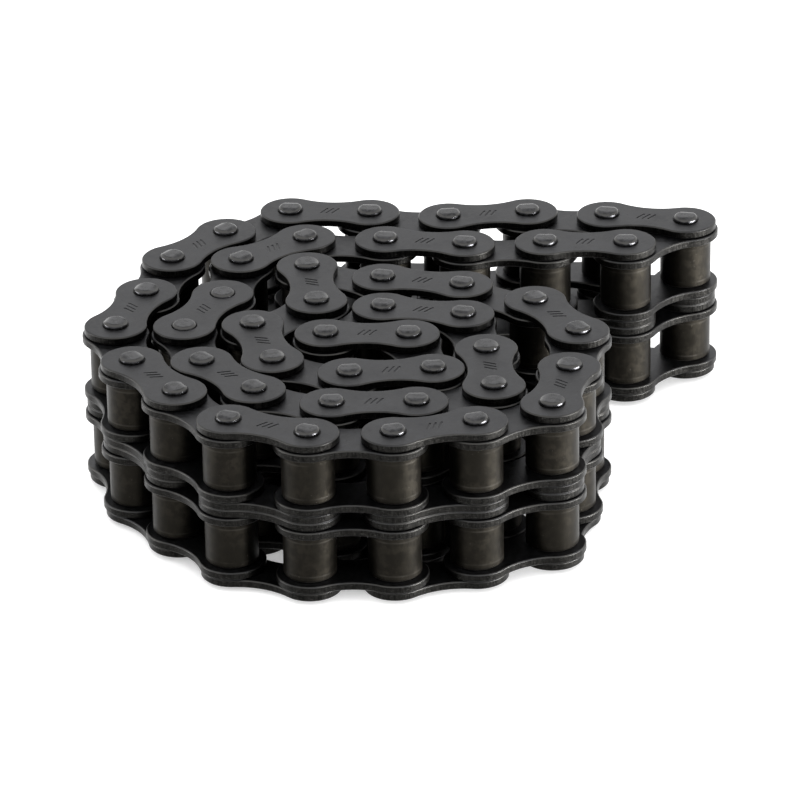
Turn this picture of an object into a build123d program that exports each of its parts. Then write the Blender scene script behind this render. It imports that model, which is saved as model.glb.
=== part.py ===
from build123d import *
import os
from math import acos, atan2, cos, degrees, hypot, radians, sin

os.makedirs("parts", exist_ok=True)

# A two-strand roller chain of 46 links, joined into a loop and coiled up on its side, pins upright.
# Millimetres, +Z up. The origin is under the middle of the coil, on the surface that it lies on.

# Chain sizes
pitch = 19.05
strand_spacing = 19.46
roller_diameter = 12.07
inner_width = 11.68
pin_diameter = 5.72
bush_diameter = 8.2
plate_thickness = 1.85
inner_plate_height = 15.4
inner_waist_height = 11.2
outer_plate_height = 14.4
outer_waist_height = 10.4
pin_length = 41.2
closing_pin_length = 40.1

# Clearances, radial and end to end
pin_clearance = 0.05
closing_pin_clearance = 0.10
roller_clearance = 0.10
roller_end_play = 0.14
bush_stand_out = 0.06
link_side_play = 0.185

# Edge breaks, riveting and the stamped mark
plate_edge = 0.25
roller_edge = 0.45
bush_edge = 0.2
pin_groove = 0.25
rivet_rounding = 0.85
closing_pin_rounding = 0.75
rivet_flat_width = 2.0
rivet_slope_depth = 0.75
rivet_cut_margin = 0.14
mark_depth = 0.1
mark_length = 3.2
mark_width = 0.5
mark_spacing = 1.35
mark_slant = 62

# The coil. The first link is the closing link, and each number is the turn from one link to the
# next, in degrees, anticlockwise from above. Two more links then close the loop.
first_heading = 63.5
turns = {
    "inner strand, from the closing link to the fold": (14.5, -40, -43, -4.5, 10, -3, 41.5),
    "fold and back row": (129, 5, 12.5, -14, 3.5),
    "left-hand side": (41.5, 13.5, 23, -3, 33.5, 19, 7.5),
    "front row": (27.5, 21.5, 16, 10.5),
    "right-hand side": (51, 5.5, 37.5, 32.5, 14, -7.5),
    "core of the coil": (118.5, -57, 64.5, 52, 27.5, 102.5, 70.5, -131, -60, -61, -11, -70.5),
    "return to the closing link": (-23.5, -23.5),
}
fold_link = 7

# Worked out from the sizes above. Heights are measured from the middle of the pins.
strand_height = strand_spacing / 2
inner_link_half_width = inner_width / 2 + plate_thickness
outer_plate_height_z = strand_height + inner_link_half_width + link_side_play
bush_bore = pin_diameter + 2 * pin_clearance
closing_pin_diameter = bush_bore - 2 * closing_pin_clearance
bush_length = 2 * (inner_link_half_width + bush_stand_out)
roller_bore = bush_diameter + 2 * roller_clearance
roller_length = inner_width - 2 * roller_end_play


def plate_outline(height, waist_height, hole_diameter):
    """Two round ends joined by two hollow flanks that meet them smoothly, and a hole in each end."""
    end_radius = height / 2
    waist = waist_height / 2
    flank_radius = ((pitch / 2) ** 2 + waist**2 - end_radius**2) / (2 * (end_radius - waist))
    share = end_radius / (end_radius + flank_radius)
    tangent_x = pitch / 2 * (1 - share)
    tangent_y = (waist + flank_radius) * share
    tip = pitch / 2 + end_radius
    with BuildSketch() as outline:
        with BuildLine():
            ThreePointArc((tangent_x, tangent_y), (tip, 0), (tangent_x, -tangent_y))
            ThreePointArc((tangent_x, -tangent_y), (0, -waist), (-tangent_x, -tangent_y))
            ThreePointArc((-tangent_x, -tangent_y), (-tip, 0), (-tangent_x, tangent_y))
            ThreePointArc((-tangent_x, tangent_y), (0, waist), (tangent_x, tangent_y))
        make_face()
        with GridLocations(pitch, 0, 2, 1):
            Circle(hole_diameter / 2, mode=Mode.SUBTRACT)
    return outline.sketch


def pin_holes(plate):
    """The edges of a plate's pin holes in its outer face."""
    return plate.faces().sort_by(Axis.Z)[-1].edges().filter_by(GeomType.CIRCLE).group_by(SortBy.RADIUS)[0]


def rim(plate):
    """The outline edges of both faces of a plate, without its holes."""
    return [edge for face in plate.faces().filter_by(Axis.Z) for edge in face.outer_wire().edges()]


# The mark on the waist of an outer plate: three short slanted strokes.
with BuildSketch() as mark:
    with GridLocations(mark_spacing, 0, 3, 1):
        SlotOverall(mark_length, mark_width, rotation=mark_slant)

# Every sub-part is drawn once, centred between the link's two pins or on its own axis.
with BuildPart() as outer_plate:
    with BuildSketch():
        add(plate_outline(outer_plate_height, outer_waist_height, pin_diameter))
    extrude(amount=plate_thickness)
    chamfer(rim(outer_plate), plate_edge)
    chamfer(pin_holes(outer_plate), pin_groove)
    with BuildSketch(Plane.XY.offset(plate_thickness)):
        add(mark.sketch)
    extrude(amount=-mark_depth, mode=Mode.SUBTRACT)

with BuildPart() as centre_plate:
    with BuildSketch():
        add(plate_outline(outer_plate_height, outer_waist_height, pin_diameter))
    extrude(amount=plate_thickness)
    chamfer(rim(centre_plate), plate_edge)

with BuildPart() as closing_plate:
    with BuildSketch():
        add(plate_outline(outer_plate_height, outer_waist_height, closing_pin_diameter))
    extrude(amount=plate_thickness)
    chamfer(rim(closing_plate), plate_edge)
    chamfer(pin_holes(closing_plate), pin_groove)
    with BuildSketch(Plane.XY.offset(plate_thickness)):
        add(mark.sketch)
    extrude(amount=-mark_depth, mode=Mode.SUBTRACT)

with BuildPart() as closing_centre_plate:
    with BuildSketch():
        add(plate_outline(outer_plate_height, outer_waist_height, closing_pin_diameter))
    extrude(amount=plate_thickness)
    chamfer(rim(closing_centre_plate), plate_edge)

with BuildPart() as inner_plate:
    with BuildSketch():
        add(plate_outline(inner_plate_height, inner_waist_height, bush_diameter))
    extrude(amount=plate_thickness)
    chamfer(rim(inner_plate), plate_edge)

with BuildPart() as bush:
    Cylinder(bush_diameter / 2, bush_length)
    chamfer(bush.edges().filter_by(GeomType.CIRCLE), bush_edge)
    Hole(bush_bore / 2)

with BuildPart() as roller:
    Cylinder(roller_diameter / 2, roller_length)
    chamfer(roller.edges().filter_by(GeomType.CIRCLE), roller_edge)
    Hole(roller_bore / 2)

# Riveting leaves a flat along the middle of a pin's end and rounds it down towards both flanks.
pin_end = pin_length / 2
rivet_side = pin_diameter / 2 + rivet_cut_margin
with BuildPart() as pin:
    Cylinder(pin_diameter / 2, pin_length)
    fillet(pin.edges().filter_by(GeomType.CIRCLE), rivet_rounding)
    with BuildSketch(Plane.YZ):
        with BuildLine():
            flat_end = (rivet_flat_width / 2, pin_end)
            slope_end = (rivet_side, pin_end - rivet_slope_depth)
            TangentArc(flat_end, slope_end, tangent=(1, 0))
            Polyline(slope_end, (rivet_side, pin_end), flat_end)
        make_face()
        mirror(about=Plane.XZ)
        mirror(about=Plane.YZ)
    extrude(amount=pin_diameter / 2, both=True, mode=Mode.SUBTRACT)

with BuildPart() as closing_pin:
    Cylinder(closing_pin_diameter / 2, closing_pin_length)
    fillet(closing_pin.edges().filter_by(GeomType.CIRCLE), closing_pin_rounding)


def lay_coil():
    """The middle of each link and its heading, with the coil centred on the origin."""
    headings = [first_heading]
    for stretch in turns.values():
        for turn in stretch:
            headings.append(headings[-1] + turn)
    x = 0
    y = 0
    starts = [(x, y)]
    for heading in headings:
        x += pitch * cos(radians(heading))
        y += pitch * sin(radians(heading))
        starts.append((x, y))
    # the last two links are the equal sides of the triangle that closes the loop
    gap = hypot(x, y)
    way_back = degrees(atan2(-y, -x))
    spread = degrees(acos(gap / 2 / pitch))
    headings += [way_back + spread, way_back - spread]
    starts.append((x + pitch * cos(radians(headings[-2])), y + pitch * sin(radians(headings[-2]))))
    across = [x for x, y in starts]
    along = [y for x, y in starts]
    middle_x = (min(across) + max(across)) / 2
    middle_y = (min(along) + max(along)) / 2
    places = []
    for (x, y), heading in zip(starts, headings):
        link_x = x + pitch / 2 * cos(radians(heading)) - middle_x
        link_y = y + pitch / 2 * sin(radians(heading)) - middle_y
        places.append(Location((link_x, link_y, pin_end), (0, 0, heading)))
    return places


def set_down(piece, label, height=0, along=0, face_down=False):
    """A copy of a sub-part in its link: at a height, at a distance along the link, either way up."""
    tilt = 180 if face_down else 0
    copy = piece.part.moved(Location((along, 0, height), (tilt, 0, 0)))
    copy.label = label
    return copy


def outer_link_pieces(plate, middle_plate, link_pin):
    """An outer link: a plate at each end of the pins and two centre plates between the strands."""
    return {
        "cover_plate": [set_down(plate, "cover_plate", outer_plate_height_z)],
        "base_plate": [set_down(plate, "base_plate", -outer_plate_height_z, face_down=True)],
        "centre_plates": [
            set_down(middle_plate, "upper_centre_plate"),
            set_down(middle_plate, "lower_centre_plate", face_down=True),
        ],
        "pins": [
            set_down(link_pin, "first_pin", along=-pitch / 2),
            set_down(link_pin, "second_pin", along=pitch / 2),
        ],
    }


def inner_link_pieces():
    """An inner link: in each strand two plates, two bushes pressed into them and two rollers."""
    pieces = {}
    for strand, middle in (("lower", -strand_height), ("upper", strand_height)):
        pieces[f"{strand}_plate_bottom"] = [
            set_down(inner_plate, "bottom_plate", middle - inner_width / 2, face_down=True)
        ]
        pieces[f"{strand}_plate_top"] = [set_down(inner_plate, "top_plate", middle + inner_width / 2)]
        for end, along in (("first", -pitch / 2), ("second", pitch / 2)):
            pieces[f"{strand}_bush_{end}"] = [set_down(bush, "bush", middle, along)]
            pieces[f"{strand}_roller_{end}"] = [set_down(roller, "roller", middle, along)]
    return pieces


def write_node(name, pieces, place):
    """Writes one node: its pieces, each a solid of its own, moved to the link's place in the coil."""
    node = Compound(label=name, children=[piece.moved(place) for piece in pieces])
    export_step(node, f"parts/{name}.step")


for number, place in enumerate(lay_coil()):
    if number == 0:
        pieces = outer_link_pieces(closing_plate, closing_centre_plate, closing_pin)
        prefix = "closing"
    elif number % 2 == 0:
        pieces = outer_link_pieces(outer_plate, centre_plate, pin)
        prefix = f"outer_link_{number // 2 + 1:02d}"
    else:
        pieces = inner_link_pieces()
        prefix = "fold" if number == fold_link else f"inner_link_{number // 2 + 1:02d}"
    if prefix in ("closing", "fold"):
        for name, group in pieces.items():
            write_node(f"{prefix}_{name}", group, place)
    else:
        write_node(prefix, [piece for group in pieces.values() for piece in group], place)
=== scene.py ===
from math import radians

import bpy
from mathutils import Matrix, Vector


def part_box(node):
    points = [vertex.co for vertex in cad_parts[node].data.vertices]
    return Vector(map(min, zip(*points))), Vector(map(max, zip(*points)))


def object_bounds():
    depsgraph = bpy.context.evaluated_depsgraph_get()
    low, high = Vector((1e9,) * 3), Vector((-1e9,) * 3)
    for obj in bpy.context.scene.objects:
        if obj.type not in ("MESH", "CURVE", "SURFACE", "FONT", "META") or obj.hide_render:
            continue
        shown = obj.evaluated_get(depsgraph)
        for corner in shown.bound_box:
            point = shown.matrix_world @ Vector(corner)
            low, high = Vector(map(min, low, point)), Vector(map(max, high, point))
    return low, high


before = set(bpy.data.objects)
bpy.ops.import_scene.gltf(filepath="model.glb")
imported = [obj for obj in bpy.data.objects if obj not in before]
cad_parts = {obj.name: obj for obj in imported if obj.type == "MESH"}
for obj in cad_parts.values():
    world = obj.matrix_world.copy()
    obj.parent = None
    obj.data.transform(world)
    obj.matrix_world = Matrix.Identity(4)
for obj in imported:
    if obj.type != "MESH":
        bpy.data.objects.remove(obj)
cad_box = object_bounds()

# Metres, degrees and linear colours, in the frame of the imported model.

# Camera: a long lens that looks down along +Y, and how far it sees. Its aim is given from the middle
# of the coil's top.
view_down = 26.4
view_roll = -0.9
view_distance = 1.2929
aim_from_top = Vector((-0.00178, -0.04466, -0.00078))
sensor_width = 36
lens = 260.2
view_reach = 20

# Floor and sky. The floor glows a little, which keeps the shade under the coil faint.
floor_side = 8
floor_colour = (0.88, 0.88, 0.88, 1)
floor_roughness = 0.9
floor_glow = 0.35
sky_strength = 1.55
white = (1, 1, 1, 1)

# Softboxes at both sides: the place of the middle, the width and height, and the power in watts.
# They are strips about as high as the chain, which light its rollers and the rims of its pin heads but
# hardly reach the plate tops.
softboxes = {
    "right_softbox": ((0.62, -0.24, 0.0225), (0.5, 0.043), 26),
    "left_softbox": ((-0.75, 0.0, 0.0225), (0.5, 0.043), 4),
}

# Colours of the blackened steel. The upright plate sides and the rollers are painted darker than the plate
# tops as painted shade; the pin rims and a line near each roller end carry painted highlights
plate_dark = (0.0267, 0.0269, 0.0289, 1)
plate_light = (0.0403, 0.0407, 0.0436, 1)
plate_mottle = (0.0234, 0.0234, 0.0247, 1)
plate_speck = (0.010, 0.0095, 0.009, 1)
plate_scratch = (0.060, 0.060, 0.062, 1)
plate_corner = (0.045, 0.044, 0.042, 1)
# Upright plate sides: fine sheared lines, and painted shade that keeps them far darker than the tops
sheared_and_painted_shade_dark = (0.0045, 0.0044, 0.0041, 1)
sheared_and_painted_shade_light = (0.0125, 0.0121, 0.0113, 1)
sheared_grit = (0.034, 0.033, 0.031, 1)
pin_dark = (0.0205, 0.0205, 0.0218, 1)
pin_light = (0.0435, 0.0435, 0.0460, 1)
# Pin rim: partly the polish of riveting, partly a painted highlight
pin_rim_polish_and_highlight = (0.060, 0.059, 0.057, 1)
# Rollers: brown-black oxide, painted darker than the plates as painted shade
roller_dark = (0.0097, 0.0088, 0.0071, 1)
roller_light = (0.0156, 0.0139, 0.0111, 1)
roller_stain = (0.0094, 0.0085, 0.0070, 1)
roller_scuff = (0.030, 0.028, 0.024, 1)
# A painted highlight line near each end of a roller
roller_painted_highlight_line = (0.0248, 0.0228, 0.0196, 1)
roller_end = (0.05, 0.047, 0.042, 1)

# Roughness of the steel, lowest and highest where it varies, and how much the drawn lines change it
plate_roughness = (0.38, 0.48)
sheared_roughness = (0.34, 0.44)
plate_corner_roughness = 0.42
pin_roughness = (0.24, 0.34)
pin_rim_roughness = 0.25
roller_roughness = (0.40, 0.48)
drawn_change = (-0.02, 0.03)

# Steps: the values of a grain, or of a face's flatness, between which a look comes in
broad_step = (0.3, 0.7)
narrow_step = (0.35, 0.65)
mottle_step = (0.62, 0.38)
stain_step = (0.60, 0.40)
grit_step = (0.58, 0.72)
speck_step = (0.70, 0.78)
long_scratch_step = (0.68, 0.78)
short_scratch_step = (0.70, 0.80)
scuff_step = (0.74, 0.80)
rubbed_step = (0.3, 0.6)
rubbed_share = (0.25, 1.0)
flat_faces = (0.85, 0.98)
sheared_faces = (0.45, 0.2)
pin_rim_steps = ((0.98, 0.86), (0.3, 0.6))
roller_end_steps = ((0.4, 0.6), (0.95, 0.8))

# Relief: how far the corners look rounded, how deep the grain is, and how rough its noise is
edge_rounding = 0.00025
edge_samples = 4
bump_depth = 0.00006
bump_strength = 0.3
noise_roughness = 0.55

# A roller's painted highlight lines, one near each end: how far they lie from the plates at its ends, and
# how far from its middle a line begins to show and is full
highlight_line_inset = 0.0016
highlight_line_fade = (0.00030, 0.00004)

# Heights at which a link's finish changes: past the outer plates, and between the inner plates. The
# skin keeps each of them clear of the faces that lie there.
skin = 0.00004
plate_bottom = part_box("closing_base_plate")[0].z
plate_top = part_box("closing_cover_plate")[1].z
pin_ends = [(cad_box[0].z - skin, plate_bottom - skin), (plate_top + skin, cad_box[1].z + skin)]
roller_heights = [
    (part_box(f"fold_{strand}_plate_bottom")[1].z + skin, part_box(f"fold_{strand}_plate_top")[0].z - skin)
    for strand in ("lower", "upper")
]


# Shader helpers -----------------------------------------------------------------------------------


def new_material(name):
    """An empty node material and its tree."""
    material = bpy.data.materials.new(name)
    material.use_nodes = True
    material.node_tree.nodes.clear()
    return material, material.node_tree


def node(tree, kind, inputs, **settings):
    """Adds a node. An input is a number, a colour, a vector or another node's output."""
    made = tree.nodes.new(kind)
    for name, value in settings.items():
        setattr(made, name, value)
    for socket, value in inputs.items():
        if isinstance(value, bpy.types.NodeSocket):
            tree.links.new(value, made.inputs[socket])
        else:
            made.inputs[socket].default_value = value
    return made


def combine(tree, operation, first, second=0.0, clamp=False):
    """One sum between two numbers."""
    sockets = {0: first, 1: second}
    return node(tree, "ShaderNodeMath", sockets, operation=operation, use_clamp=clamp).outputs[0]


def ramp(tree, value, step, to=(0.0, 1.0)):
    """A smooth step: to[0] where value is at the step's first number, to[1] where at its second."""
    inputs = {"Value": value, "From Min": step[0], "From Max": step[1], "To Min": to[0], "To Max": to[1]}
    return node(tree, "ShaderNodeMapRange", inputs, interpolation_type="SMOOTHSTEP").outputs["Result"]


def grain(tree, place, size, detail, stretch=(1, 1, 1), shift=0.0, turn=0.0):
    """Noise from 0 to 1 with features of that size, drawn out along an axis and rotated about Z."""
    inputs = {
        "Vector": place,
        "Location": [shift * size] * 3,
        "Rotation": (0, 0, radians(turn)),
        "Scale": [size * share for share in stretch],
    }
    moved = node(tree, "ShaderNodeMapping", inputs, vector_type="TEXTURE")
    inputs = {"Vector": moved.outputs[0], "Scale": 1.0, "Detail": detail, "Roughness": noise_roughness}
    return node(tree, "ShaderNodeTexNoise", inputs).outputs["Fac"]


def blend_colours(tree, factor, first, second):
    """From the first colour to the second as the factor goes from 0 to 1."""
    # sockets 0, 6 and 7 of a Mix node are its factor and its two colours
    return node(tree, "ShaderNodeMix", {0: factor, 6: first, 7: second}, data_type="RGBA").outputs[2]


def blend_numbers(tree, factor, first, second):
    """From the first number to the second as the factor goes from 0 to 1."""
    return node(tree, "ShaderNodeMix", {0: factor, 2: first, 3: second}).outputs[0]


def ramp_both(tree, value, steps):
    """A band: 1 only between two smooth steps."""
    first, second = steps
    return combine(tree, "MULTIPLY", ramp(tree, value, first), ramp(tree, value, second))


def relief(tree, *shares):
    """A height made of a share of each of two grains."""
    first, second = [combine(tree, "MULTIPLY", grains, share) for grains, share in shares]
    return combine(tree, "ADD", first, second)


def flatness(tree):
    """How nearly a face looks straight up or down: 1 on flat faces, 0 on upright ones."""
    normal = node(tree, "ShaderNodeNewGeometry", {}).outputs["Normal"]
    z = node(tree, "ShaderNodeSeparateXYZ", {"Vector": normal}).outputs["Z"]
    return combine(tree, "ABSOLUTE", z)


# Finishes: each gives a colour, a roughness and a height, and the steel below mixes them ----------


def plate_finish(tree, place):
    """Stamped plate: blue-black satin faces, sheared edges with fine upright lines and painted shade that
    keeps them darker than the faces, rubbed corners.
    """
    facing = flatness(tree)
    clouds = grain(tree, place, size=0.007, detail=4)
    mottle = grain(tree, place, size=0.0012, detail=4, shift=3.0)
    fine = grain(tree, place, size=0.00022, detail=2, shift=5.0)
    sheared = grain(tree, place, size=0.00025, detail=2, stretch=(1, 1, 9), shift=7.0)
    grit = grain(tree, place, size=0.0002, detail=1, stretch=(1, 1, 1.6), shift=13.0)
    specks = grain(tree, place, size=0.0008, detail=1, shift=11.0)
    long_scratches = grain(tree, place, size=0.00015, detail=1, stretch=(26, 1, 1), turn=35)
    short_scratches = grain(tree, place, size=0.00012, detail=1, stretch=(20, 1, 1), turn=-48)
    scratches = combine(
        tree,
        "MAXIMUM",
        ramp(tree, long_scratches, long_scratch_step),
        ramp(tree, short_scratches, short_scratch_step),
    )
    flat = ramp(tree, facing, flat_faces)
    side = ramp(tree, facing, sheared_faces)
    corner = combine(tree, "SUBTRACT", 1.0, combine(tree, "ADD", flat, side), clamp=True)
    rubbed = combine(tree, "MULTIPLY", corner, ramp(tree, clouds, rubbed_step, to=rubbed_share))
    flat_specks = combine(tree, "MULTIPLY", ramp(tree, specks, speck_step), flat)
    flat_scratches = combine(tree, "MULTIPLY", scratches, flat)

    colour = blend_colours(tree, ramp(tree, clouds, broad_step), plate_dark, plate_light)
    colour = blend_colours(tree, ramp(tree, mottle, mottle_step), colour, plate_mottle)
    # Upright sides: sheared lines, with painted shade that keeps them darker than the flat faces
    edge_colour = blend_colours(tree, ramp(tree, sheared, narrow_step), sheared_and_painted_shade_dark, sheared_and_painted_shade_light)
    edge_colour = blend_colours(tree, ramp(tree, grit, grit_step), edge_colour, sheared_grit)
    colour = blend_colours(tree, side, colour, edge_colour)
    colour = blend_colours(tree, rubbed, colour, plate_corner)
    colour = blend_colours(tree, flat_specks, colour, plate_speck)
    colour = blend_colours(tree, flat_scratches, colour, plate_scratch)

    roughness = ramp(tree, mottle, broad_step, to=plate_roughness)
    edge_roughness = ramp(tree, sheared, broad_step, to=sheared_roughness)
    roughness = blend_numbers(tree, side, roughness, edge_roughness)
    roughness = blend_numbers(tree, rubbed, roughness, plate_corner_roughness)

    dimples = relief(tree, (mottle, 0.6), (fine, 0.7))
    lines = combine(tree, "MULTIPLY", sheared, 0.6)
    height = blend_numbers(tree, side, dimples, lines)
    return colour, roughness, height


def pin_finish(tree, place):
    """Riveted pin end: smoother and brighter than the plates, most of all on its rounded rim, which is
    partly polished and partly a painted highlight.
    """
    facing = flatness(tree)
    mottle = grain(tree, place, size=0.0012, detail=4, shift=2.0)
    fine = grain(tree, place, size=0.0004, detail=2, shift=4.0)
    rim = ramp_both(tree, facing, pin_rim_steps)

    colour = blend_colours(tree, ramp(tree, mottle, narrow_step), pin_dark, pin_light)
    # The rounded rim: partly polished steel, partly a painted highlight
    colour = blend_colours(tree, rim, colour, pin_rim_polish_and_highlight)

    roughness = ramp(tree, mottle, broad_step, to=pin_roughness)
    roughness = blend_numbers(tree, rim, roughness, pin_rim_roughness)
    return colour, roughness, relief(tree, (mottle, 0.7), (fine, 0.3))


def roller_finish(tree, place):
    """Hardened roller: brown-black oxide, painted darker than the plates as painted shade, with faint
    stains, fine drawn lines, painted highlight lines near its ends and a few small scuffs.
    """
    facing = flatness(tree)
    clouds = grain(tree, place, size=0.006, detail=5, shift=1.0)
    stains = grain(tree, place, size=0.0018, detail=4, shift=9.0)
    drawn = grain(tree, place, size=0.0005, detail=2, stretch=(1, 1, 5), shift=6.0)
    fine = grain(tree, place, size=0.0003, detail=2, shift=8.0)
    scuffs = grain(tree, place, size=0.0006, detail=1, shift=12.0)
    z = node(tree, "ShaderNodeSeparateXYZ", {"Vector": place}).outputs["Z"]
    # Painted highlight: a lighter line near each end of each roller
    painted_highlight_lines = 0.0
    for low, high in roller_heights:
        for line in (low + highlight_line_inset, high - highlight_line_inset):
            distance = combine(tree, "ABSOLUTE", combine(tree, "SUBTRACT", z, line))
            painted_highlight_lines = combine(tree, "ADD", ramp(tree, distance, highlight_line_fade), painted_highlight_lines)
    painted_highlight_lines = combine(tree, "MULTIPLY", painted_highlight_lines, ramp(tree, clouds, narrow_step))
    end = ramp_both(tree, facing, roller_end_steps)

    # Painted shade: the roller's tone is kept darker than the plates'
    colour = blend_colours(tree, ramp(tree, clouds, broad_step), roller_dark, roller_light)
    colour = blend_colours(tree, ramp(tree, stains, stain_step), colour, roller_stain)
    colour = blend_colours(tree, ramp(tree, scuffs, scuff_step), colour, roller_scuff)
    # Painted highlight lines near the roller's ends
    colour = blend_colours(tree, painted_highlight_lines, colour, roller_painted_highlight_line)
    colour = blend_colours(tree, end, colour, roller_end)

    roughness = ramp(tree, clouds, broad_step, to=roller_roughness)
    change = ramp(tree, drawn, broad_step, to=drawn_change)
    roughness = combine(tree, "ADD", roughness, change)
    return colour, roughness, relief(tree, (drawn, 0.35), (fine, 0.3))


def steel(name, finish, second=None, zones=()):
    """Blackened steel in one finish, or in a second one between the heights of each zone."""
    material, tree = new_material(name)
    place = node(tree, "ShaderNodeTexCoord", {}).outputs["Object"]
    colour, roughness, height = finish(tree, place)
    if second:
        z = node(tree, "ShaderNodeSeparateXYZ", {"Vector": place}).outputs["Z"]
        inside = 0.0
        for low, high in zones:
            above = combine(tree, "GREATER_THAN", z, low)
            below = combine(tree, "LESS_THAN", z, high)
            inside = combine(tree, "ADD", combine(tree, "MULTIPLY", above, below), inside)
        other_colour, other_roughness, other_height = second(tree, place)
        colour = blend_colours(tree, inside, colour, other_colour)
        roughness = blend_numbers(tree, inside, roughness, other_roughness)
        height = blend_numbers(tree, inside, height, other_height)
    rounded = node(tree, "ShaderNodeBevel", {"Radius": edge_rounding}, samples=edge_samples)
    relief_inputs = {
        "Height": height,
        "Strength": bump_strength,
        "Distance": bump_depth,
        "Normal": rounded.outputs["Normal"],
    }
    bump = node(tree, "ShaderNodeBump", relief_inputs)
    shader_inputs = {
        "Base Color": colour,
        "Metallic": 1.0,
        "Roughness": roughness,
        "Normal": bump.outputs[0],
    }
    shader = node(tree, "ShaderNodeBsdfPrincipled", shader_inputs)
    node(tree, "ShaderNodeOutputMaterial", {"Surface": shader.outputs[0]})
    return material


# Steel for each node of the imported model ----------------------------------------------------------

outer_link_steel = steel("outer_link_black_steel", plate_finish, pin_finish, pin_ends)
inner_link_steel = steel("inner_link_black_steel", plate_finish, roller_finish, roller_heights)
plate_steel = steel("plate_black_steel", plate_finish)
pin_steel = steel("pin_black_steel", pin_finish)
roller_steel = steel("roller_brown_steel", roller_finish)


def steel_for(name):
    """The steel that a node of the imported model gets, by its name."""
    if name.startswith("outer_link"):
        return outer_link_steel
    if name.startswith("inner_link"):
        return inner_link_steel
    if "plate" in name:
        return plate_steel
    if "pin" in name:
        return pin_steel
    return roller_steel


for name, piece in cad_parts.items():
    for slot in piece.material_slots:
        slot.material = steel_for(name)


# Floor, light and camera --------------------------------------------------------------------------


def make_floor():
    """A plain white floor under the coil."""
    material, tree = new_material("white_floor")
    inputs = {
        "Base Color": floor_colour,
        "Roughness": floor_roughness,
        "Emission Color": white,
        "Emission Strength": floor_glow,
    }
    shader = node(tree, "ShaderNodeBsdfPrincipled", inputs)
    node(tree, "ShaderNodeOutputMaterial", {"Surface": shader.outputs[0]})
    half = floor_side / 2
    mesh = bpy.data.meshes.new("floor")
    corners = [(-half, -half, 0), (half, -half, 0), (half, half, 0), (-half, half, 0)]
    mesh.from_pydata(corners, [], [(0, 1, 2, 3)])
    mesh.materials.append(material)
    floor = bpy.data.objects.new("floor", mesh)
    floor.location.z = cad_box[0].z
    bpy.context.scene.collection.objects.link(floor)


def make_softbox(name, place, size, power):
    """A rectangular softbox that points at the coil."""
    data = bpy.data.lights.new(name, "AREA")
    data.shape = "RECTANGLE"
    data.size, data.size_y = size
    data.energy = power
    light = bpy.data.objects.new(name, data)
    light.location = place
    light.rotation_euler = (-Vector(place)).to_track_quat("-Z", "Y").to_euler()
    bpy.context.scene.collection.objects.link(light)


def make_sky():
    """Even white light from all round."""
    world = bpy.data.worlds.new("studio")
    world.use_nodes = True
    world.node_tree.nodes.clear()
    sky = node(world.node_tree, "ShaderNodeBackground", {"Color": white, "Strength": sky_strength})
    node(world.node_tree, "ShaderNodeOutputWorld", {"Surface": sky.outputs[0]})
    bpy.context.scene.world = world


def make_camera():
    """The camera, on its line through the aim point."""
    data = bpy.data.cameras.new("camera")
    data.lens = lens
    data.sensor_width = sensor_width
    data.clip_end = view_reach
    camera = bpy.data.objects.new("camera", data)
    tilt = Matrix.Rotation(radians(90 - view_down), 4, "X")
    turn = tilt @ Matrix.Rotation(radians(view_roll), 4, "Z")
    middle = (cad_box[0] + cad_box[1]) / 2
    top = Vector((middle.x, middle.y, cad_box[1].z))
    back = turn @ Vector((0, 0, 1))
    camera.matrix_world = Matrix.Translation(top + aim_from_top + view_distance * back) @ turn
    bpy.context.scene.collection.objects.link(camera)
    bpy.context.scene.camera = camera


make_floor()
make_sky()
for name, (place, size, power) in softboxes.items():
    make_softbox(name, place, size, power)
make_camera()
bpy.context.scene.view_settings.view_transform = "Standard"
